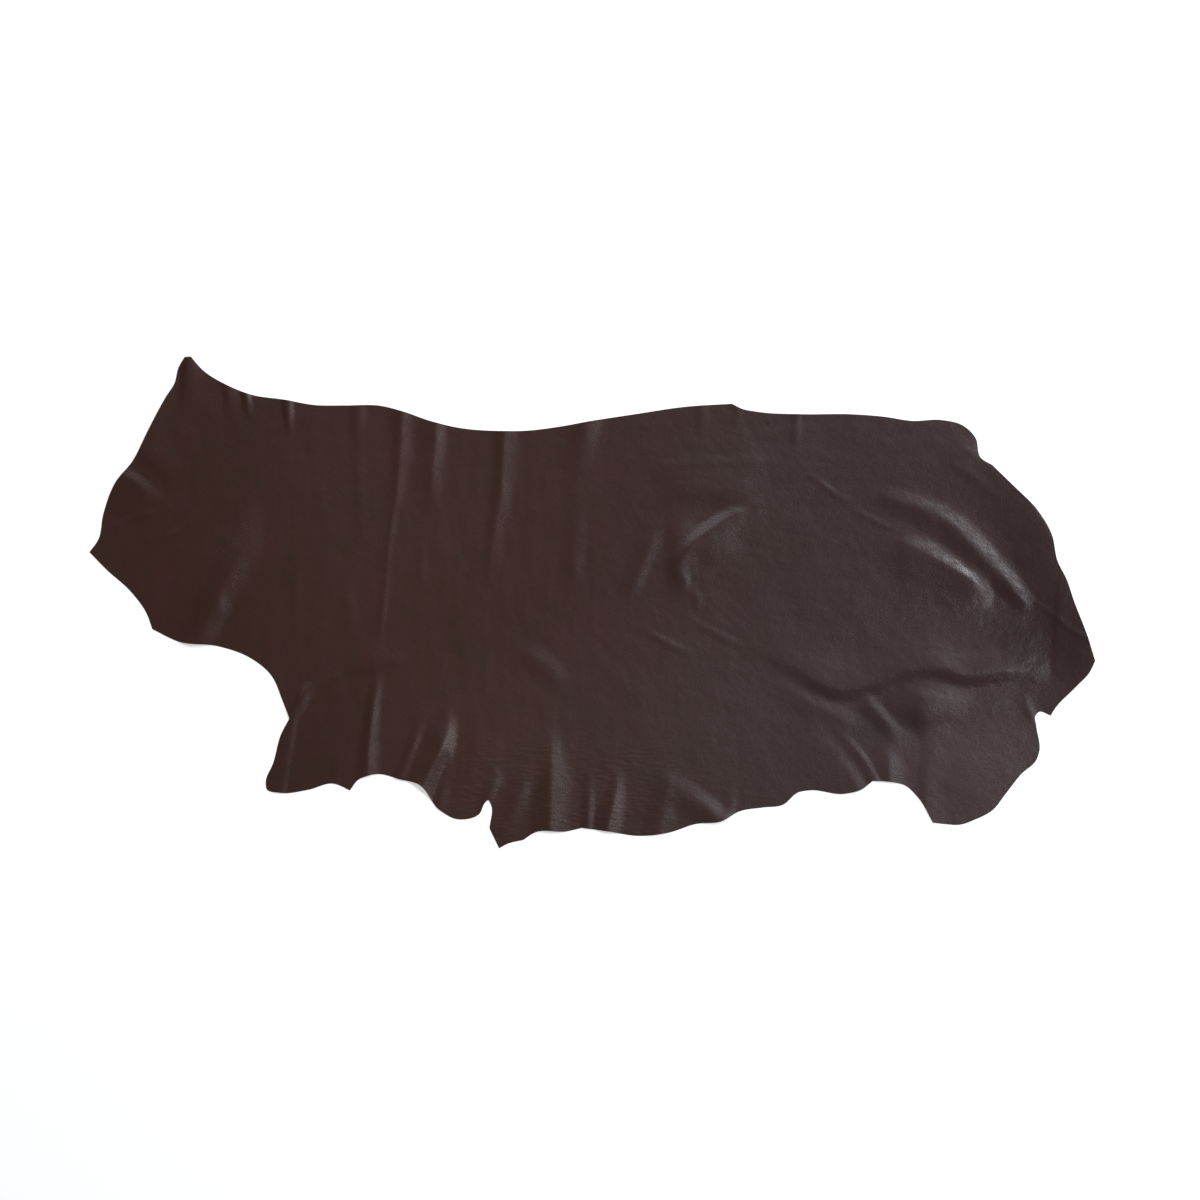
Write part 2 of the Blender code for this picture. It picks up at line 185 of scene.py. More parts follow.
# %% Folds of the shoulder, straight down from the backbone
SHOULDER = {
    "shoulder 1": Fold(38, 34, 1, [(-456, 476, 5.2), (-458, 414, 5.2), (-463, 337, 4.2, 0.85),
        (-470, 260, 2.8, 0.6), (-485, 162, 1.8, 0.4), (-494, 66, 1.4, 0.35), (-506, -54, 1.2, 0.35),
        (-511, -126, 0, 0.35)]),
    "shoulder 2": Fold(34, 42, 0.9, [(-374, 448, 5.4), (-377, 390, 5.4), (-382, 330, 4.6), (-386, 277, 3.2),
        (-391, 217, 0)]),
    "shoulder 2 line": Fold(9, 9, 0.5, [(-401, 162, 0), (-406, 107, 0.7), (-413, 30, 0)]),
    "shoulder 3": Fold(38, 26, 0.8, [(-211, 433, 5.4), (-214, 354, 5.2), (-221, 258, 4.4, 0.95),
        (-238, 150, 2.8, 0.8), (-250, 25, 0, 0.7)]),
    "line 1": Fold(16, 16, 0.3, [(-710, 138, 0), (-710, 30, 0.8), (-710, -126, 0)]),
    "line 2": Fold(14, 14, 0.3, [(-593, 90, 0), (-581, -23, 0.8), (-574, -138, 0)]),
    "line 3": Fold(16, 16, 0.3, [(-557, 491, 1.2), (-562, 414, 0.8), (-557, 246, 0.8), (-545, 83, 0)]),
    "withers": Fold(44, 42, 0.3, [(-14, 457, 5.4), (-19, 414, 5), (-29, 337, 1.4, 0.7), (-36, 246, 1, 0.7),
        (-41, 174, 2, 0.7), (-46, 73, 1.6, 0.7), (-48, 6, 0, 0.8)]),
    "saddle": Fold(18, 22, 0.4, [(-161, 191, 0), (-134, 215, 1.2), (-106, 234, 1.2), (-82, 251, 0)]),
    "rib 2": Fold(24, 32, 0.4, [(154, 179, 0), (139, 138, 2.8), (118, 88, 2.8), (96, 35, 2.4), (84, 1, 0)]),
}

# %% Folds of the middle
MIDDLE = {
    "flank crease 1": Fold(8, 16, 0.5, [(115, -56, 0), (144, -76, 0.8), (199, -104, 1), (264, -131, 0)]),
    "flank crease 2": Fold(8, 14, 0.5, [(230, -35, 0), (259, -52, 0.8), (322, -85, 1), (398, -119, 0)]),
    "belly light": Fold(32, 40, 0.3, [(-173, -114, 0), (-139, -131, 2.4), (-101, -164, 2.8),
        (-62, -210, 0)]),
    "back crease 1": Fold(14, 10, 0.5, [(115, 328, 0), (211, 332, 0.4), (331, 335, 0.6), (415, 335, 0.8),
        (475, 337, 0)]),
    "back crease 2": Fold(14, 10, 0.5, [(264, 270, 0), (331, 272, 0.6), (422, 275, 0)]),
    "back crease 3": Fold(12, 12, 0.4, [(490, 457, 1), (490, 400, 1), (487, 352, 0)]),
    "back crease 4": Fold(20, 16, 0.3, [(264, 476, 1.2), (262, 433, 1), (259, 390, 0)]),
    "back crease 5": Fold(20, 16, 0.3, [(350, 481, 1.2), (350, 438, 1), (346, 390, 0)]),
    "rim spot 1": Fold(14, 14, 0.3, [(211, 78, 0), (221, 54, 1.7), (226, 30, 0)]),
    "rim spot 2": Fold(12, 14, 0.3, [(242, 30, 0), (252, 11, 1.3), (254, -11, 0)]),
}

# %% Folds of the butt, where the leather is slack and the deepest ones lie
BUTT = {
    "rump rim": Fold(130, 34, 0.5, [(514, 251, 0), (446, 244, 1.6), (384, 227, 3.4, 0.9),
        (350, 212, 5, 0.8), (317, 193, 7.6, 0.85), (288, 172, 9.2), (257, 150, 9.4), (230, 124, 7.4, 0.9),
        (214, 97, 4.6, 0.9), (209, 61, 3.6, 0.8), (214, 20, 0)]),
    "rump ridge": Fold(170, 30, 0.4, [(173, 246, 0), (211, 260, 2.8), (259, 265, 3.6), (312, 265, 3.4),
        (360, 260, 2.6), (408, 253, 0)]),
    "rump lip": Fold(100, 36, 0.4, [(365, -102, 0), (413, -119, 1), (456, -138, 2.2), (499, -160, 4),
        (542, -188, 5.8), (586, -203, 6.6), (658, -193, 7), (768, -155, 7.4), (826, -152, 8),
        (898, -169, 8.4), (965, -162, 6), (1022, -157, 3), (1080, -157, 0)]),
    "valley rim": Fold(22, 60, 0.5, [(751, -215, 0), (792, -229, 1.6), (850, -234, 1.8), (912, -232, 1),
        (979, -224, 0.5), (1051, -215, 0)]),
    "streak 1": Fold(42, 46, 0.5, [(672, 263, 0, 0.6), (722, 246, 2.8, 0.8), (794, 220, 4.4),
        (862, 184, 5.2), (922, 124, 5.8), (960, 83, 6), (994, 52, 6.2, 0.9), (1020, 20, 5.4, 0.7),
        (1044, -4, 0, 0.5)]),
    "streak tail": Fold(9, 8, 0.8, [(1022, 30, 0), (1058, 6, 0.5), (1087, -16, 0.7), (1111, -32, 0.9),
        (1142, -61, 1.1), (1183, -83, 1.2), (1219, -100, 1.2)]),
    "streak 2": Fold(36, 90, 0.6, [(739, 148, 0, 1.1), (758, 136, 3.8, 1.2), (802, 116, 5, 1.15),
        (840, 92, 5.5, 1.05), (876, 71, 6.2), (907, 52, 6.8), (929, 32, 5.6, 0.9), (943, 13, 0, 0.7)]),
    "butt corner": Fold(40, 130, 0.3, [(775, 409, 0), (859, 376, 1.2), (926, 342, 3.6), (1018, 275, 7.4),
        (1090, 179, 9.2), (1130, 83, 8.6), (1162, -4, 5), (1205, -114, 3)]),
    "butt line": Fold(30, 8, 0.5, [(1123, 54, 0), (1121, 6, 1), (1116, -90, 1.1), (1111, -196, 0)]),
    "rump crease 1": Fold(9, 12, 0.6, [(514, 311, 0), (547, 289, 1), (595, 253, 1.1), (638, 239, 0)]),
    "rump crease 2": Fold(9, 12, 0.6, [(610, 232, 0), (643, 215, 0.9), (686, 193, 1), (725, 172, 0)]),
    "rump crease": Fold(30, 46, 0.4, [(442, -184, 0), (482, -215, 1.6), (535, -248, 2.7), (590, -277, 2.8),
        (626, -296, 1.6), (662, -318, 0)]),
    "knuckle": Fold(20, 32, 0.4, [(648, -222, 0), (662, -239, 2), (691, -272, 2.9), (722, -308, 2.5),
        (739, -325, 0.8), (749, -335, 0)]),
    "heel": Fold(150, 75, 0.3, [(710, -248, 0, 0.7), (737, -244, 3.2, 0.8), (768, -246, 6.4, 0.95),
        (792, -258, 8), (802, -277, 7, 0.9), (806, -301, 2, 0.5), (811, -342, 1.2, 0.3),
        (804, -426, 1.8, 0.3), (802, -498, 1.8, 0.3), (811, -570, 1.8, 0.3)]),
    "corner mark 1": Fold(16, 14, 0.4, [(871, 332, 0), (898, 313, 1.1), (926, 296, 1.1), (948, 282, 0)]),
    "corner mark 2": Fold(16, 14, 0.4, [(912, 275, 0), (941, 270, 1), (974, 256, 0)]),
    "rump mark": Fold(14, 14, 0.4, [(830, 11, 0), (854, 1, 0.9), (878, -11, 0)]),
    "rump foot": Fold(50, 34, 0.3, [(226, 212, 0, 0.8), (216, 184, 3), (209, 138, 3.8), (204, 88, 3.4),
        (199, 30, 0, 0.8)]),
    "tail": Fold(30, 100, 0.3, [(1138, 73, 0), (1154, 25, 3), (1176, -28, 6.4), (1200, -95, 8.6),
        (1210, -157, 8), (1171, -239, 4.6)]),
}

# %% Folds of the hind leg and the flank
LEG = {
    "flank 1": Fold(28, 100, 0.4, [(518, -272, 0), (547, -320, 1.4), (581, -366, 2), (614, -409, 2.8),
        (653, -469, 3.6)]),
    "flank 2": Fold(12, 30, 0.7, [(581, -306, 0), (610, -330, 1.3), (643, -366, 2.1), (679, -426, 2.3),
        (701, -469, 2.3)]),
    "hind leg 1": Fold(48, 60, 0.8, [(708, -340, 0), (710, -368, 4), (713, -407, 5.2), (715, -469, 5.2)]),
    "hind leg edge": Fold(12, 18, 0.5, [(1037, -227, 0), (1046, -248, 1.6), (1056, -272, 1.6)]),
}

# %% Folds of the foreleg and the belly, which run out over the edge
BELLY = {
    "armpit": Fold(24, 22, 0.4, [(-610, -162, 0), (-641, -181, 1.8), (-677, -210, 3), (-703, -239, 3),
        (-725, -272, 0)]),
    "foreleg": Fold(14, 36, 0.4, [(-718, -263, 0), (-722, -296, 2.4), (-734, -368, 2.2),
        (-751, -474, 2.4)]),
    "belly 1": Fold(36, 30, 0.8, [(-514, -172, 0, 0.4), (-518, -205, 2.8, 0.5), (-526, -248, 4.6, 0.6),
        (-535, -325, 5.5, 0.8), (-542, -438, 5.6)]),
    "belly 2": Fold(38, 46, 0.6, [(-336, -220, 0, 0.4), (-343, -263, 1.4, 0.5), (-348, -301, 5.4, 0.75),
        (-362, -342, 10.2), (-386, -392, 11.4, 1.1), (-420, -464, 11.4, 1.2)]),
    "belly 3": Fold(22, 14, 0.6, [(-334, -359, 0, 0.5), (-343, -397, 1.4, 0.7), (-355, -436, 1.8),
        (-372, -503, 2)]),
    "belly notch": Fold(16, 22, 0.6, [(-228, -416, 0), (-238, -438, 3.4), (-250, -467, 3),
        (-259, -493, 0)]),
    "belly 4": Fold(32, 34, 0.4, [(-132, -359, 0), (-151, -409, 3.8), (-175, -460, 4.8), (-194, -503, 2.6),
        (-209, -546, 1)]),
    "belly 5": Fold(54, 52, 0.7, [(-96, -311, 0, 0.6), (-98, -349, 4, 0.7), (-98, -414, 7.2),
        (-101, -474, 7.8), (-101, -570, 7.8)]),
    "belly 6": Fold(14, 16, 0.6, [(-5, -421, 0), (-7, -462, 2), (-12, -570, 2.4)]),
    "belly 7": Fold(38, 34, 0.7, [(62, -407, 0, 0.4), (58, -445, 3.4, 0.6), (48, -488, 6.8, 0.9),
        (29, -575, 7.8, 1.1)]),
    "belly 8": Fold(40, 40, 0.5, [(192, -397, 0), (182, -436, 2.4), (173, -479, 3.2), (151, -575, 3.6)]),
    "belly 9": Fold(34, 56, 0.4, [(151, -407, 0), (187, -433, 1.4), (240, -469, 4.2), (298, -515, 5.6),
        (331, -546, 5.6)]),
    "belly 10": Fold(14, 18, 0.5, [(334, -450, 0), (334, -479, 1.6), (326, -534, 1.8)]),
    "belly crease 1": Fold(15, 14, 0.5, [(-398, -253, 0), (-420, -311, 2.2), (-439, -366, 3.3),
        (-466, -431, 3.7)]),
    "belly crease 2": Fold(14, 14, 0.4, [(-278, -272, 0), (-281, -340, 0.6), (-288, -407, 0.8),
        (-293, -474, 0)]),
    "foreleg pucker": Fold(14, 14, 0.4, [(-607, -378, 0), (-612, -412, 1.2), (-619, -455, 1.4)]),
    "elbow": Fold(60, 22, 0.4, [(-571, -162, 0), (-528, -148, 3.3), (-485, -136, 2.6), (-451, -126, 0)]),
    "armpit light": Fold(18, 14, 0.4, [(-684, -205, 0), (-694, -222, 2.8), (-703, -244, 3.2),
        (-713, -265, 1.6), (-720, -277, 0)]),
}

# %% [markdown]
# Under the folds the leather rises in a few broad swells, most of all over the rump, and between them it
# touches the surface. Each swell is a flat-topped dome over an ellipse.

# %% Swells
Swell = namedtuple("Swell", "height x y half_length half_width turn")

SWELLS = {
    "rump": Swell(3.5, 600, 20, 400, 215, -4),
    "rump corner": Swell(1.5, 835, 102, 170, 150, -45),
    "hind leg": Swell(3, 900, -400, 160, 120, 0),
    "brisket": Swell(3, -900, 61, 190, 130, 35),
}

# %% [markdown]
# ## From the tables to a height
#
# The height of the leather at a place is the sum of what every fold and swell gives there. A fold's share
# depends on how far the place lies from its crest: full height on the crest, nothing past the half width.
# Near the crest the distance is rounded off, so that the leather turns over in a small radius and not in an
# edge. In the bend of a path a place can be as near to one stretch as to another, so height, width and side
# are taken from the whole crest line, and the nearest stretch counts most.

# %% Distance from a crest, and what the crest is like there
CREST_STEP = 8.0
CREST_RADIUS = 5.0
BLEND = 15.0
BATCH = 500000


def batches(points, line):
    """The points' indices in batches small enough for arrays of every point by every stretch of the line."""
    return np.array_split(np.arange(len(points)), 1 + len(points) * len(line) // BATCH)


def beside(points, line):
    """Distance of each point from the line, and means of the line's height, spread and side (+1 left) there.

    A stretch at distance d weighs its length * exp((nearest^2 - d^2) / (2 BLEND^2)).
    """
    start, chord = line[:-1, :2], np.diff(line[:, :2], axis=0)
    rise = np.diff(line[:, 2:], axis=0)
    distance, means = np.empty(len(points)), np.empty((len(points), 3))
    for part in batches(points, start):
        offset = points[part, None, :] - start
        share = np.clip((offset * chord).sum(axis=2) / (chord ** 2).sum(axis=1), 0, 1)
        square = ((offset - share[..., None] * chord) ** 2).sum(axis=2)
        nearest = square.min(axis=1)
        weight = np.exp((nearest[:, None] - square) / (2 * BLEND ** 2)) * np.hypot(*chord.T)
        weight /= weight.sum(axis=1)[:, None]
        side = np.sign(chord[:, 0] * offset[..., 1] - chord[:, 1] * offset[..., 0])
        height, spread = np.moveaxis(line[:-1, 2:] + share[..., None] * rise, 2, 0)
        distance[part] = np.sqrt(nearest)
        means[part] = np.stack([(weight * value).sum(axis=1) for value in (height, spread, side)], axis=1)
    return distance, *means.T

# %% Height of one fold, one swell, and all of them
def fold_height(fold, points):
    """h * (1 - u)^2 * (1 + 2 u (1 - crisp)): h is the crest's height there, u the share of the half width."""
    path = np.array([(*point, 1.0)[:4] for point in fold.path])
    line = smooth_line(path, CREST_STEP)
    line[:, 2:] = np.clip(line[:, 2:], path[:, 2:].min(axis=0), path[:, 2:].max(axis=0))
    reach = max(fold.left, fold.right) * path[:, 3].max() + CREST_RADIUS
    low, high = line[:, :2].min(axis=0) - reach, line[:, :2].max(axis=0) + reach
    near = np.all((points > low) & (points < high), axis=1)
    height = np.zeros(len(points))
    if near.any():
        distance, crest, spread, side = beside(points[near], line)
        width = spread * (fold.right + (fold.left - fold.right) * (1 + side) / 2)
        away = np.clip((np.hypot(distance, CREST_RADIUS) - CREST_RADIUS) / width, 0, 1)
        height[near] = crest * (1 - away) ** 2 * (1 + 2 * away * (1 - fold.crisp))
    return height


def swell_height(swell, points):
    """height * (1 - u^2)^2, with u from 0 in the middle of the ellipse to 1 at its rim."""
    turn = math.radians(swell.turn)
    x, y = (points - (swell.x, swell.y)).T
    u = np.hypot((x * math.cos(turn) + y * math.sin(turn)) / swell.half_length,
                 (y * math.cos(turn) - x * math.sin(turn)) / swell.half_width)
    return swell.height * np.clip(1 - u * u, 0, 1) ** 2


WAVES, WAVE_SPREAD = 14, (0.7, 1.4)


def waves(points, wavelength, seed):
    """Random swell of about that wavelength, near -1 to 1: a sum of sine waves in random directions."""
    rng = np.random.default_rng(seed)
    angle, phase = rng.uniform(0, 2 * math.pi, (2, WAVES))
    number = 2 * math.pi / (wavelength * rng.uniform(*WAVE_SPREAD, WAVES))
    direction = np.stack([np.cos(angle), np.sin(angle)]) * number
    return np.sin(points @ direction + phase).sum(axis=1) / math.sqrt(WAVES)


FOLDS = {**NECK, **SHOULDER, **MIDDLE, **BUTT, **LEG, **BELLY}
# height and wavelength in mm, and the seed
UNEVEN = ((0.5, 160, 1), (0.25, 70, 2))
LANDING = 0.3
print(f"{len(FOLDS)} folds on {len(SWELLS)} swells")


def relief(points):
    """Height of the leather's underside over the surface: the folds, the swells and a slight unevenness.

    The leather can't go below the surface, so h becomes (h + sqrt(h^2 + LANDING^2)) / 2 and lands softly.
    """
    height = sum(fold_height(fold, points) for fold in FOLDS.values())
    height += sum(swell_height(swell, points) for swell in SWELLS.values())
    for size, wavelength, seed in UNEVEN:
        height += size * (1 + waves(points, wavelength, seed)) / 2
    return (height + np.hypot(height, LANDING)) / 2

# %% [markdown]
# ## The sheet
#
# The hide is a height over the plane, so its two parameters are x and y, on a triangular lattice. A fold
# needs a point every few millimetres and a flat stretch does not, so the lattice starts wide and halves its
# spacing wherever the leather bends away from the flat faces that it would get. A Delaunay triangulation
# joins the points and keeps to the cut edge.

# %% Points of the lattice
FINE_STEP = 2.5
# in fine steps
SPACINGS = (8, 4, 2, 1)
SAG = 0.035
EDGE_GAP = 2.0


def inside(points, loop):
    """True where the closed loop goes round the point: an odd number of edges cross a ray from it."""
    (x0, y0), (x1, y1) = loop.T, np.roll(loop, -1, axis=0).T
    slope = (x1 - x0) / np.where(y1 == y0, 1, y1 - y0)
    odd = np.zeros(len(points), dtype=bool)
    for part in batches(points, loop):
        x, y = points[part, :1], points[part, 1:]
        level = (y0 > y) != (y1 > y)
        odd[part] = (level & (x < x0 + (y - y0) * slope)).sum(axis=1) % 2 == 1
    return odd


def lattice(loop, step):
    """Points low + ((i + j/2) step, j step sqrt(3)/2) over the loop's box, with rows j and columns i."""
    low, high = loop.min(axis=0), loop.max(axis=0)
    row = step * math.sqrt(3) / 2
    rise = int((high[1] - low[1]) / row) + 1
    i, j = np.meshgrid(np.arange(-rise // 2, int((high[0] - low[0]) / step) + 1), np.arange(rise))
    return low + np.stack([(i + j / 2) * step, j * row], axis=-1), i, j


def where_it_bends(height, i, j):
    """Every point of the widest lattice, and each finer one whose six neighbours' mean misses it by SAG."""
    wanted = (i % SPACINGS[0] == 0) & (j % SPACINGS[0] == 0)
    for k in SPACINGS[1:]:
        steps = (0, k), (0, -k), (k, 0), (-k, 0), (k, -k), (-k, k)
        around = sum(np.roll(height, step, axis=(0, 1)) for step in steps) / len(steps)
        wanted |= (i % k == 0) & (j % k == 0) & (np.abs(around - height) > SAG)
    return wanted


grid, i, j = lattice(ring, FINE_STEP)
height = relief(grid.reshape(-1, 2)).reshape(i.shape)
points = grid[where_it_bends(height, i, j)]
along = np.roll(ring, -1, axis=0) - np.roll(ring, 1, axis=0)
inward = np.stack([along[:, 1], -along[:, 0]], axis=1) / np.hypot(*along.T)[:, None]
points = points[inside(points, ring + EDGE_GAP * inward)]
print(f"lattice: {len(points)} points, highest {height.max():.1f} mm")

# %% [markdown]
# The triangles are the underside. The grain side is the same sheet moved by the thickness along each point's
# own normal, so the leather is as thick on a slope as where it lies flat, and a strip of triangles along the
# border is the cut edge. The knife went through at a slant, so the edge shows from above as a thin dark line.
# Each of the three gets its own material.

# %% Triangles, thickness and cut edge
THICKNESS = 1.5
CUT_SLANT = 1.2
SHARP_ANGLE = 35
GRAIN, FLESH, CUT = 0, 1, 2
# the triangulation's output type that leaves out what is outside the border
INSIDE_ONLY = 1

border = [(k, (k + 1) % len(ring)) for k in range(len(ring))]
flat, _, faces, *_ = delaunay_2d_cdt(np.concatenate([ring, points]).tolist(), border, [], INSIDE_ONLY, 1e-4)
flat, faces = np.array(flat), np.array(faces)
a, b, c = (flat[faces[:, k]] for k in range(3))
clockwise = (b[:, 0] - a[:, 0]) * (c[:, 1] - a[:, 1]) < (b[:, 1] - a[:, 1]) * (c[:, 0] - a[:, 0])
faces[clockwise] = faces[clockwise, ::-1]
under = np.column_stack([flat, relief(flat)])


def point_normals(places, triangles):
    """Mean of the normals of the triangles round each point, weighted by their areas."""
    a, b, c = (places[triangles[:, k]] for k in range(3))
    normal = np.cross(b - a, c - a)
    total = np.stack([np.bincount(triangles.ravel(), np.repeat(normal[:, k], 3), len(places))
                      for k in range(3)], axis=1)
    return total / np.linalg.norm(total, axis=1)[:, None]


def open_edges(triangles):
    """The edges that only one triangle has, each in the direction in which that triangle runs."""
    edges = np.concatenate([triangles[:, [0, 1]], triangles[:, [1, 2]], triangles[:, [2, 0]]])
    _, index, count = np.unique(np.sort(edges, axis=1), axis=0, return_index=True, return_counts=True)
    return edges[index[count == 1]]


top = under + THICKNESS * point_normals(under, faces)
start, end = open_edges(faces).T
count = len(under)
tangent = np.zeros_like(under)
tangent[start] += under[end] - under[start]
tangent[end] += under[end] - under[start]
outer = np.unique(start)
inward = np.column_stack([-tangent[outer, 1], tangent[outer, 0]])
top[outer, :2] += CUT_SLANT * inward / np.linalg.norm(inward, axis=1)[:, None]
rim = np.concatenate([np.column_stack([start + count, end + count, end]),
                      np.column_stack([start + count, end, start])])
triangles = np.concatenate([faces, faces[:, ::-1] + count, rim])

mesh = bpy.data.meshes.new("hide leather")
mesh.from_pydata(np.concatenate([top, under]) * MM, [], triangles)
side = np.repeat([GRAIN, FLESH, CUT], [len(faces), len(faces), len(rim)])
mesh.polygons.foreach_set("material_index", side)
mesh.shade_smooth()
mesh.set_sharp_from_angle(angle=math.radians(SHARP_ANGLE))
hide = bpy.data.objects.new("hide_leather", mesh)
bpy.context.scene.collection.objects.link(hide)
print(f"sheet: {len(triangles)} triangles, {THICKNESS} mm thick")

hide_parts("hide")
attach(hide, "root")

# %% [markdown]
# ## The finish
#
# Colours are written as the sRGB values that a colour picker shows, and one function turns them to the linear
# values that a shader works with. Another adds a node with its settings and links.

# %% Two helpers for materials
def linear(code):
    """Linear RGBA of an sRGB hex code: below 0.04045 divided by 12.92, above it the 2.4 power."""
    srgb = np.array([int(code[k:k + 2], 16) for k in (1, 3, 5)]) / 255
    value = np.where(srgb <= 0.04045, srgb / 12.92, ((srgb + 0.055) / 1.055) ** 2.4)
    return (*value, 1.0)


def add(tree, kind, sockets=None, **settings):
    """A new node: settings are its properties, sockets its inputs, each a value or another node's output."""
    node = tree.nodes.new(kind)
    for name, value in settings.items():
        setattr(node, name, value)
    for name, value in (sockets or {}).items():
        if isinstance(value, bpy.types.NodeSocket):
            tree.links.new(value, node.inputs[name])
        else:
            node.inputs[name].default_value = value
    return node


def new_material(name, **sockets):
    """A material with nodes, its tree and its shader, whose plain sockets are set by name."""
    material = bpy.data.materials.new(name)
    material.use_nodes = True
    tree = material.node_tree
    shader = tree.nodes["Principled BSDF"]
    for socket, value in sockets.items():
        shader.inputs[socket.replace("_", " ")].default_value = value
    return material, tree, shader

# %% [markdown]
# The grain side is smooth upholstery leather: dyed through, sprayed with a thin brown finish and plated, so
# it has a satin gloss over a fine pebble. A picture of leather would show a seam where it repeats, so the
# finish is made of noises. Its colour wanders a little between a redder and a more olive brown, as dye takes
# unevenly in a skin, and it turns cooler towards the butt. The plate pressed the thick skin of the neck, the
# rump and the tail glossier and left the flank, the belly and the hind leg duller. A table of round zones
# says by how much the gloss changes there, and by how much the colour is lighter or darker as painted light:
# lighter on the shoulder, the belly and the hind leg as painted sheen, darker in the butt corner and at the
# tail as painted shade. Its two smallest zones darken the pocket and the dent by the knee as painted shade.

# %% Grain side: gloss, and the places that differ, with painted sheen and painted shade
ROUGHNESS, GLOSS_DRIFT = 0.335, 0.012
# centre and radius in mm, what is added to the roughness there, and the share by which the colour is lighter,
# which is painted sheen where it is above 0 and painted shade where it is below 0
GlossAndPaintedLightZone = namedtuple("GlossAndPaintedLightZone", "x y radius roughness tone")
GLOSS_AND_PAINTED_LIGHT_ZONES = {
    "neck": GlossAndPaintedLightZone(-1050, 150, 480, -0.05, 0.0),
    # the shoulder's lighter colour is painted sheen
    "shoulder": GlossAndPaintedLightZone(-420, 40, 620, 0.02, 0.1),
    "rump": GlossAndPaintedLightZone(760, 160, 480, -0.03, 0.0),
    # the butt corner's darker colour is painted shade
    "butt corner": GlossAndPaintedLightZone(1130, 60, 400, -0.04, -0.18),
    "flank": GlossAndPaintedLightZone(300, -320, 640, 0.08, 0.0),
    # the belly's and the hind leg's lighter colour is painted sheen
    "belly": GlossAndPaintedLightZone(-260, -400, 420, 0.07, 0.12),
    "hind leg": GlossAndPaintedLightZone(880, -430, 330, 0.11, 0.15),
    "largest belly fold": GlossAndPaintedLightZone(-345, -360, 130, -0.07, 0.0),
    # painted shade: these two zones darken the colour where shade falls in the hollows by the knee
    "painted shade in the pocket by the knee": GlossAndPaintedLightZone(682, -301, 80, 0.0, -0.3),
    "painted shade in the dent by the knee": GlossAndPaintedLightZone(768, -284, 60, 0.0, -0.3),
    # the tail's darker colour is painted shade
    "tail": GlossAndPaintedLightZone(1060, -110, 190, -0.04, -0.1),
}

# %% Grain side: colour
OLIVE, RED, COOL = linear("#2d1e0d"), linear("#431b1a"), linear("#342021")
# size of the patches in mm
DYE_DRIFT, GLOSS_CLOUDS = 220, 450


def ramp(value, start, end, low=0.0, high=1.0):
    """A value that goes from low to high between two places on the hide, in mm."""
    node = add(tree, "ShaderNodeMapRange", {"Value": value, "From Min": start * MM, "From Max": end * MM,
                                            "To Min": low, "To Max": high}, interpolation_type="SMOOTHSTEP")
    return node.outputs["Result"]


def noise(size, detail, roughness):
    """Noise with a pattern of about that size, in mm."""
    node = add(tree, "ShaderNodeTexNoise", {"Vector": place, "Scale": 1 / (size * MM), "Detail": detail,
                                            "Roughness": roughness})
    return node.outputs["Fac"]


def mixed(share, one, other):
    """A colour that is the first where the share is 0 and the second where it is 1."""
    node = add(tree, "ShaderNodeMix", {"Factor": share, "A": one, "B": other}, data_type="RGBA")
    return node.outputs["Result"]


grain, tree, shader = new_material("finished grain leather", IOR=1.5, Specular_IOR_Level=0.75)
place = add(tree, "ShaderNodeTexCoord").outputs["Object"]
along = add(tree, "ShaderNodeSeparateXYZ", {"Vector": place}).outputs
spread = noise(DYE_DRIFT, detail=7, roughness=0.9)
dye = add(tree, "ShaderNodeMapRange", {"Value": spread, "From Min": 0.2, "From Max": 0.8})
tone = mixed(dye.outputs["Result"], OLIVE, RED)
tone = mixed(ramp(along["X"], -300, 700, low=0, high=0.7), tone, COOL)
low, high = ROUGHNESS - GLOSS_DRIFT, ROUGHNESS + GLOSS_DRIFT
clouds = noise(GLOSS_CLOUDS, detail=3, roughness=0.5)
level = add(tree, "ShaderNodeMapRange", {"Value": clouds, "From Min": 0.3, "From Max": 0.7,
                                         "To Min": low, "To Max": high})
rough, share = level.outputs["Result"], 1.0
for zone in GLOSS_AND_PAINTED_LIGHT_ZONES.values():
    centre = zone.x * MM, zone.y * MM, 0
    away = add(tree, "ShaderNodeVectorMath", {0: place, 1: centre}, operation="DISTANCE").outputs["Value"]
    near = ramp(away, 0, zone.radius, low=1, high=0)
    rough = add(tree, "ShaderNodeMath", {0: near, 1: zone.roughness, 2: rough}, operation="MULTIPLY_ADD")
    share = add(tree, "ShaderNodeMath", {0: near, 1: zone.tone, 2: share}, operation="MULTIPLY_ADD")
    rough, share = rough.outputs["Value"], share.outputs["Value"]
# the base colour times the zones' share: painted sheen where it is lighter, painted shade where it is darker
colour = add(tree, "ShaderNodeVectorMath", {0: tone, 1: share}, operation="MULTIPLY")
tree.links.new(colour.outputs["Vector"], shader.inputs["Base Color"])
tree.links.new(rough, shader.inputs["Roughness"])
print(f"finish: roughness {ROUGHNESS}, changed in {len(GLOSS_AND_PAINTED_LIGHT_ZONES)} zones")

# %% [markdown]
# Below what the mesh can carry, the surface has four kinds of relief. Long wrinkles a few tenths of a
# millimetre high run down the neck and the shoulder and along the rump: a stretched noise gives each set, and
# a ramp across the hide says where it shows. Short creases of the same make cross the belly folds, where the
# leather is loosest. A plain noise breaks the grain everywhere, 1.6 times as much behind the saddle, and a
# fine cell pattern is the pebble. Each feeds a bump, and each bump starts from the one before.

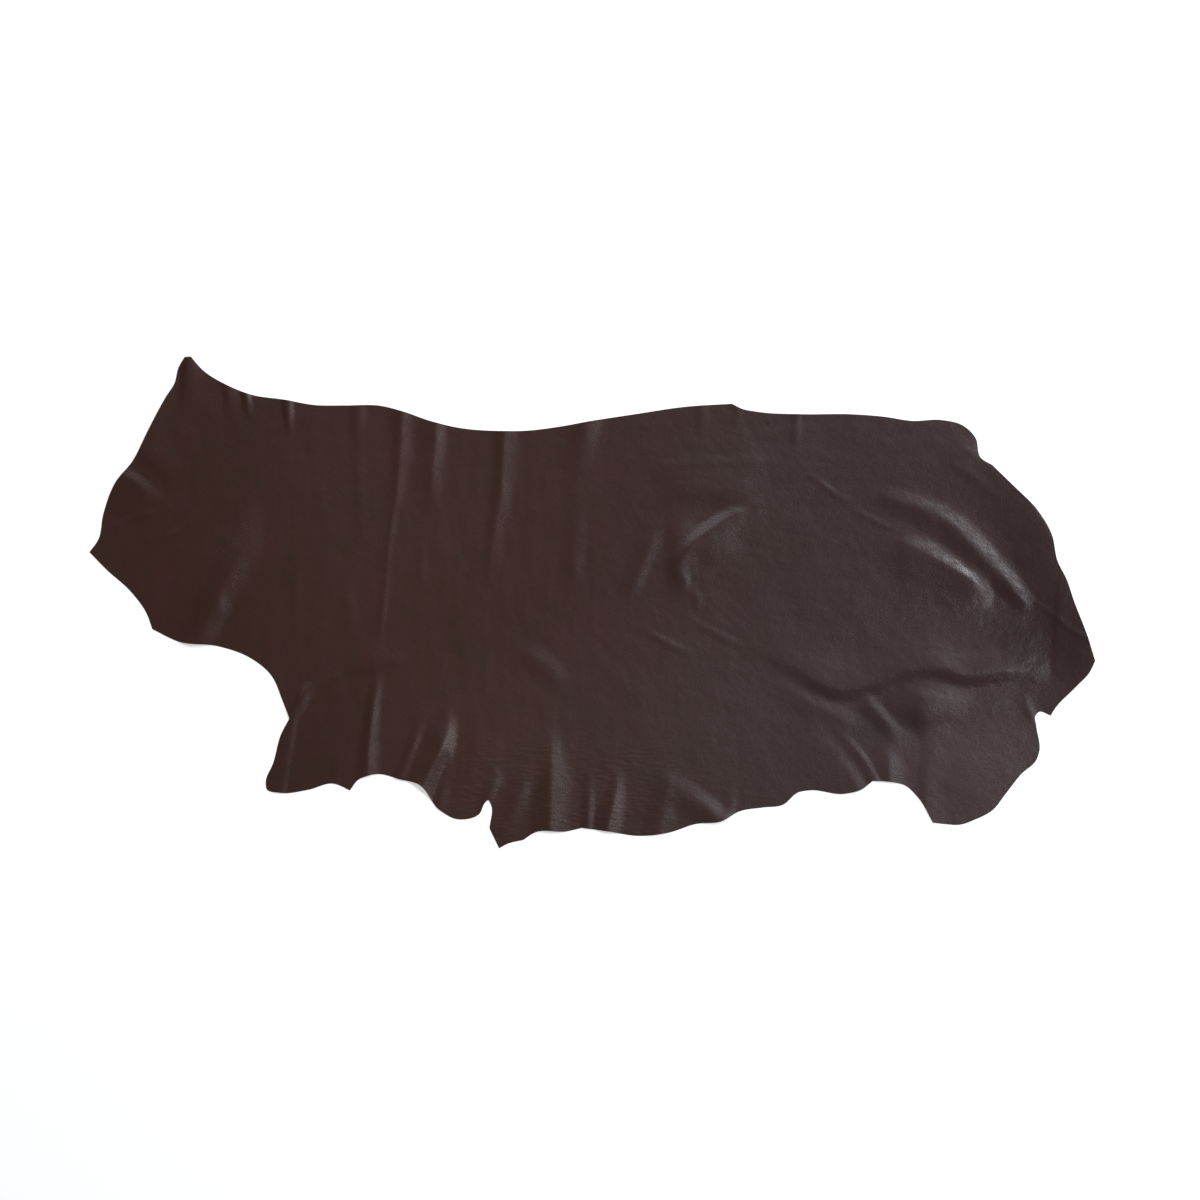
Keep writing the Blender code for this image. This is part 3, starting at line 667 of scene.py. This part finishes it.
# %% Grain side: wrinkles, grain break and pebble
# size of the pattern and height in mm; a wrinkle is long as well as wide
WRINKLE, WRINKLE_LENGTH, WRINKLE_HEIGHT = 44, 150, 1.4
CRUSH, CRUSH_LENGTH, CRUSH_HEIGHT = 8, 24, 0.8
BREAK, BREAK_HEIGHT = 34, 0.8
PEBBLE, PEBBLE_HEIGHT = 4.5, 0.1


def times(one, other):
    """The product of two values."""
    return add(tree, "ShaderNodeMath", {0: one, 1: other}, operation="MULTIPLY").outputs["Value"]


def drawn_noise(size_x, size_y):
    """Noise with a pattern of these two sizes in mm, along X and along Y."""
    shrink = 1 / size_x, 1 / size_y, 1 / size_x
    drawn = add(tree, "ShaderNodeVectorMath", {0: place, 1: shrink}, operation="MULTIPLY").outputs["Vector"]
    node = add(tree, "ShaderNodeTexNoise", {"Vector": drawn, "Scale": 1 / MM, "Detail": 1.0,
                                            "Roughness": 0.4})
    return node.outputs["Fac"]


down = times(drawn_noise(WRINKLE, WRINKLE_LENGTH), ramp(along["X"], -200, 300, low=1, high=0))
at_rump = times(ramp(along["X"], -100, 400), ramp(along["Y"], -300, -50))
across = times(drawn_noise(WRINKLE_LENGTH, WRINKLE), at_rump)
under_saddle = times(ramp(along["X"], -450, -250), ramp(along["X"], 100, 400, low=1, high=0))
at_belly = times(under_saddle, ramp(along["Y"], -420, -260, low=1, high=0))
crushed = times(drawn_noise(CRUSH_LENGTH, CRUSH), at_belly)
broken = times(noise(BREAK, detail=4, roughness=0.55), ramp(along["X"], -200, 400, low=1, high=1.6))
pebble = add(tree, "ShaderNodeTexVoronoi", {"Vector": place, "Scale": 1 / (PEBBLE * MM)}, feature="F1")
RELIEFS = {
    "pebble": (pebble.outputs["Distance"], PEBBLE_HEIGHT),
    "grain break": (broken, BREAK_HEIGHT),
    "belly creases": (crushed, CRUSH_HEIGHT),
    "neck wrinkles": (down, WRINKLE_HEIGHT),
    "rump wrinkles": (across, WRINKLE_HEIGHT),
}
normal = {}
for name, (pattern, tall) in RELIEFS.items():
    bump = add(tree, "ShaderNodeBump", {"Height": pattern, "Distance": tall * MM, **normal}, label=name)
    normal = {"Normal": bump.outputs["Normal"]}
    print(f"{name}: {tall} mm")
tree.links.new(normal["Normal"], shader.inputs["Normal"])

# %% [markdown]
# The flesh side is what the splitting machine left: a short nap, lighter and quite matt. The cut edge shows
# the fibres between the two in a very dark brown. Both are a fine noise between two browns,
# and on the flesh side the same noise is the height of the nap.

# %% Flesh side and cut edge
NAP, NAP_HEIGHT = 4, 0.8
FIBRE = 3

flesh, tree, shader = new_material("suede flesh side", Roughness=0.95, Sheen_Weight=0.3, Sheen_Roughness=0.6)
place = add(tree, "ShaderNodeTexCoord").outputs["Object"]
nap = noise(NAP, detail=5, roughness=0.7)
bump = add(tree, "ShaderNodeBump", {"Height": nap, "Distance": NAP_HEIGHT * MM})
tree.links.new(mixed(nap, linear("#4a3128"), linear("#6b4c3d")), shader.inputs["Base Color"])
tree.links.new(bump.outputs["Normal"], shader.inputs["Normal"])

cut, tree, shader = new_material("cut leather edge", Roughness=0.85)
place = add(tree, "ShaderNodeTexCoord").outputs["Object"]
fibres = noise(FIBRE, detail=4, roughness=0.7)
tree.links.new(mixed(fibres, linear("#150d0c"), linear("#281a17")), shader.inputs["Base Color"])

for material in (grain, flesh, cut):
    hide.data.materials.append(material)
print("materials:", [material.name for material in hide.data.materials])

# %% [markdown]
# ## Floor, light and camera
#
# The hide lies on a plain white floor. It stands on nothing and throws only a soft shadow, so a wide matt
# disc just under it is enough. The disc glows a little, as a floor does that is lit from wall to wall.

# %% Floor
# in metres
FLOOR_GAP, FLOOR_RADIUS = 0.0003, 30
FLOOR_PAINT, FLOOR_GLOW = (0.86, 0.86, 0.86, 1), 0.45
WHITE = (1, 1, 1, 1)

bpy.ops.mesh.primitive_circle_add(vertices=96, radius=FLOOR_RADIUS, fill_type="NGON",
                                  location=(0, 0, -FLOOR_GAP))
floor = bpy.context.object
floor.name = "floor"
paint, *_ = new_material("white floor", Base_Color=FLOOR_PAINT, Roughness=0.9, Emission_Color=WHITE,
                         Emission_Strength=FLOOR_GLOW)
floor.data.materials.append(paint)

# %% [markdown]
# Leather this dark shows its shape by what it mirrors, hardly by its own colour. A camera straight above sees
# a window in the leather wherever the surface leans towards it by half the angle between the two. A long band
# of windows to the upper right, 46 degrees high, therefore draws a bright line along each slope of about 22
# degrees that faces it. Two smaller windows catch what the band misses: a high one in the east the slopes of
# 14 degrees, and one in the north-west those of 19. Everything else mirrors a dim room and stays dark.

# %% Lights
# a little blue, as linear red, green and blue
DAYLIGHT = (0.95, 0.98, 1.03)


def window(name, azimuth, elevation, distance, width, height, power):
    """An area light seen from the hide at that bearing (degrees from +X) and height, aimed at the origin."""
    data = bpy.data.lights.new(name, "AREA")
    data.shape, data.size, data.size_y, data.energy = "RECTANGLE", width, height, power
    data.color = DAYLIGHT
    light = bpy.data.objects.new(name, data)
    a, e = math.radians(azimuth), math.radians(elevation)
    light.location = (distance * math.cos(e) * math.cos(a), distance * math.cos(e) * math.sin(a),
                      distance * math.sin(e))
    light.rotation_euler = (math.pi / 2 - e, 0, a + math.pi / 2)
    bpy.context.scene.collection.objects.link(light)
    print(f"{name}: {width} x {height} m, {power} W")


window("window band", azimuth=45, elevation=46, distance=11, width=14.6, height=2.65, power=1335)
window("east window", azimuth=-16, elevation=62, distance=10, width=1.8, height=1.8, power=46)
window("side window", azimuth=118, elevation=52, distance=8, width=2, height=1.6, power=31)

# %% [markdown]
# The room is white behind the hide and dim all round it: what the camera sees past the floor is bright, but
# what falls on the leather from there is a tenth of that, or the folds would lose their dark sides.

# %% Room
ROOM_SEEN, ROOM_LIGHT = 1.2, 0.12

world = bpy.data.worlds.new("room")
world.use_nodes = True
tree = world.node_tree
seen = add(tree, "ShaderNodeBackground", {"Color": WHITE, "Strength": ROOM_SEEN})
felt = tree.nodes["Background"]
felt.inputs["Color"].default_value = WHITE
felt.inputs["Strength"].default_value = ROOM_LIGHT
ray = add(tree, "ShaderNodeLightPath")
both = add(tree, "ShaderNodeMixShader", {0: ray.outputs["Is Camera Ray"], 1: felt.outputs["Background"],
                                         2: seen.outputs["Background"]})
tree.links.new(both.outputs["Shader"], tree.nodes["World Output"].inputs["Surface"])
bpy.context.scene.world = world
bpy.context.scene.view_settings.view_transform = "Standard"

# %% [markdown]
# The camera hangs straight above the hide with a long lens, as for a picture of stock on a table, so no fold
# hides what is behind it and the outline is the true one. Its height follows from the width that it shows.

# %% Camera
# in metres, and the lens in mm
VIEW_WIDTH, VIEW_CENTRE = 2.88, (0.0192, 0.006)
LENS, SENSOR = 85, 36
camera = bpy.data.objects.new("camera", bpy.data.cameras.new("camera"))
camera.data.lens, camera.data.sensor_width = LENS, SENSOR
camera.data.clip_end = 100
camera.location = (*VIEW_CENTRE, VIEW_WIDTH * LENS / SENSOR)
bpy.context.scene.collection.objects.link(camera)
bpy.context.scene.camera = camera
